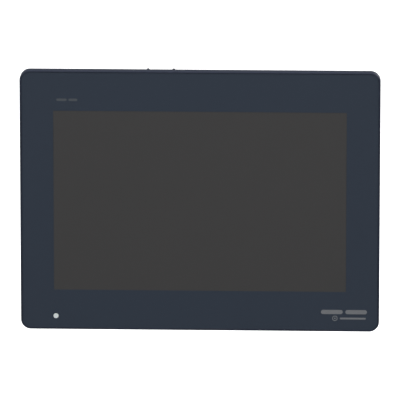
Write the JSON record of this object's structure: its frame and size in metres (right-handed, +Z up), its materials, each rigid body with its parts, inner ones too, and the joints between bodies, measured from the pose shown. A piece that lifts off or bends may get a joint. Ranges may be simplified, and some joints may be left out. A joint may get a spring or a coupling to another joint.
{
  "type": "hmi touch panel",
  "caption": "Flat wide-screen operator touch panel for a cabinet door: dark bezel, status lamp, shallow rear case with a computer box, door clamps and ports underneath.",
  "frame": {"origin": "centre of the gasket ring's rear face, which seats on the cabinet door", "axes": "+X to the operator's right, +Y away from the operator into the cabinet, +Z up"},
  "size_m": [0.267, 0.0685, 0.1966],
  "materials": {
    "bezel_plastic": "fine satin moulded",
    "rear_plastic": "fine spark texture",
    "gasket_rubber": "matt",
    "overlay_film": "hard-coated, low glare",
    "overlay_ink": "printed",
    "sensor_glass": "polished",
    "flat_cable": "polyimide",
    "foam": "closed cell",
    "tray_steel": "zinc-plated sheet",
    "optic_film": "clear or milky",
    "circuit_board": "solder mask",
    "chassis_aluminium": "mill finish",
    "cover_aluminium": "powder coated dark grey",
    "screw_steel": "zinc plated",
    "connector_plastic": "glass-filled",
    "plug_plastic": "moulded",
    "plate_film": "matt polyester",
    "button_plastic": "moulded",
    "card_plastic": "moulded",
    "door_plastic": "fine spark texture",
    "clamp_steel": "zinc plated",
    "foot_plastic": "nylon",
    "clamp_screw_steel": "zinc plated"
  },
  "bodies": {
    "panel": {"front_bezel": "bezel_plastic", "installation_gasket": "gasket_rubber", "overlay_sheet": "overlay_film", "overlay_print": "overlay_ink", "touch_film": "overlay_film", "touch_glass": "sensor_glass", "touch_tail": "flat_cable", "dust_seal": "foam", "lcd_front_frame": "tray_steel", "lcd_cell": "sensor_glass", "diffuser_stack": "optic_film", "light_guide": "optic_film", "backlight_led_bar": "circuit_board", "lcd_rear_tray": "tray_steel", "lcd_ribbon": "flat_cable", "display_chassis": "chassis_aluminium", "link_board": "circuit_board", "link_socket": "connector_plastic", "link_plug": "connector_plastic", "status_light_pipe": "optic_film", "led_board": "circuit_board", "rear_case": "rear_plastic", "case_screws": "screw_steel", "box_base": "tray_steel", "box_cover": "cover_aluminium", "main_board": "circuit_board", "board_standoffs": "screw_steel", "board_parts": "circuit_board", "heat_sink": "chassis_aluminium", "lan_jacks": "connector_plastic", "usb_ports": "tray_steel", "serial_port": "screw_steel", "power_header": "connector_plastic", "dip_switch": "connector_plastic", "card_socket": "tray_steel", "backup_battery": "screw_steel", "box_screws": "screw_steel", "earth_screw": "screw_steel", "rating_plate": "plate_film"},
    "bracket_1": {"clamp_bracket_1": "clamp_steel"},
    "foot_1": {"clamp_foot_1": "foot_plastic"},
    "screw_1": {"clamp_screw_1": "clamp_screw_steel"},
    "bracket_2": {"clamp_bracket_2": "clamp_steel"},
    "foot_2": {"clamp_foot_2": "foot_plastic"},
    "screw_2": {"clamp_screw_2": "clamp_screw_steel"},
    "bracket_3": {"clamp_bracket_3": "clamp_steel"},
    "foot_3": {"clamp_foot_3": "foot_plastic"},
    "screw_3": {"clamp_screw_3": "clamp_screw_steel"},
    "bracket_4": {"clamp_bracket_4": "clamp_steel"},
    "foot_4": {"clamp_foot_4": "foot_plastic"},
    "screw_4": {"clamp_screw_4": "clamp_screw_steel"},
    "door": {"card_door": "door_plastic"},
    "card": {"memory_card": "card_plastic"},
    "plug": {"power_plug": "plug_plastic", "plug_screws": "screw_steel"},
    "slider_1": {"dip_slider_1": "button_plastic"},
    "slider_2": {"dip_slider_2": "button_plastic"},
    "slider_3": {"dip_slider_3": "button_plastic"},
    "slider_4": {"dip_slider_4": "button_plastic"},
    "reset": {"reset_button": "button_plastic"}
  },
  "joints": [
    {"name": "bracket_lift_1", "type": "slide", "parent": "panel", "child": "bracket_1", "axis": [0, 0, 1], "range_m": [0, 0.0085]},
    {"name": "foot_advance_1", "type": "slide", "parent": "bracket_1", "child": "foot_1", "axis": [0, -1, 0], "range_m": [0, 0.0045]},
    {"name": "screw_turn_1", "type": "hinge", "parent": "foot_1", "child": "screw_1", "pos_m": [0.1302, 0.03, 0.05], "axis": [0, -1, 0], "range_deg": [0, 2315]},
    {"name": "bracket_lift_2", "type": "slide", "parent": "panel", "child": "bracket_2", "axis": [0, 0, 1], "range_m": [0, 0.0085]},
    {"name": "foot_advance_2", "type": "slide", "parent": "bracket_2", "child": "foot_2", "axis": [0, -1, 0], "range_m": [0, 0.0045]},
    {"name": "screw_turn_2", "type": "hinge", "parent": "foot_2", "child": "screw_2", "pos_m": [0.1302, 0.03, -0.05], "axis": [0, -1, 0], "range_deg": [0, 2315]},
    {"name": "bracket_lift_3", "type": "slide", "parent": "panel", "child": "bracket_3", "axis": [0, 0, 1], "range_m": [0, 0.0085]},
    {"name": "foot_advance_3", "type": "slide", "parent": "bracket_3", "child": "foot_3", "axis": [0, -1, 0], "range_m": [0, 0.0045]},
    {"name": "screw_turn_3", "type": "hinge", "parent": "foot_3", "child": "screw_3", "pos_m": [-0.1302, 0.03, 0.05], "axis": [0, -1, 0], "range_deg": [0, 2315]},
    {"name": "bracket_lift_4", "type": "slide", "parent": "panel", "child": "bracket_4", "axis": [0, 0, 1], "range_m": [0, 0.0085]},
    {"name": "foot_advance_4", "type": "slide", "parent": "bracket_4", "child": "foot_4", "axis": [0, -1, 0], "range_m": [0, 0.0045]},
    {"name": "screw_turn_4", "type": "hinge", "parent": "foot_4", "child": "screw_4", "pos_m": [-0.1302, 0.03, -0.05], "axis": [0, -1, 0], "range_deg": [0, 2315]},
    {"name": "door_hinge", "type": "hinge", "parent": "panel", "child": "door", "pos_m": [0.1006, 0.0536, 0.0125], "axis": [0, 0, 1], "range_deg": [0, 95]},
    {"name": "card_eject", "type": "slide", "parent": "panel", "child": "card", "axis": [1, 0, 0], "range_m": [0, 0.004]},
    {"name": "plug_pull", "type": "slide", "parent": "panel", "child": "plug", "axis": [0, 0, -1], "range_m": [0, 0.01]},
    {"name": "slider_shift_1", "type": "slide", "parent": "panel", "child": "slider_1", "axis": [0, 1, 0], "range_m": [0, 0.0018]},
    {"name": "slider_shift_2", "type": "slide", "parent": "panel", "child": "slider_2", "axis": [0, 1, 0], "range_m": [0, 0.0018]},
    {"name": "slider_shift_3", "type": "slide", "parent": "panel", "child": "slider_3", "axis": [0, 1, 0], "range_m": [0, 0.0018]},
    {"name": "slider_shift_4", "type": "slide", "parent": "panel", "child": "slider_4", "axis": [0, 1, 0], "range_m": [0, 0.0018]},
    {"name": "reset_press", "type": "slide", "parent": "panel", "child": "reset", "axis": [-1, 0, 0], "range_m": [0, 0.0009], "stiffness_N_per_m": 900, "springref_m": -0.0003}
  ],
  "couplings": [
    {"joint": "screw_turn_1", "follows": "foot_advance_1", "rad_per_m": 8976},
    {"joint": "screw_turn_2", "follows": "foot_advance_2", "rad_per_m": 8976},
    {"joint": "screw_turn_3", "follows": "foot_advance_3", "rad_per_m": 8976},
    {"joint": "screw_turn_4", "follows": "foot_advance_4", "rad_per_m": 8976}
  ]
}
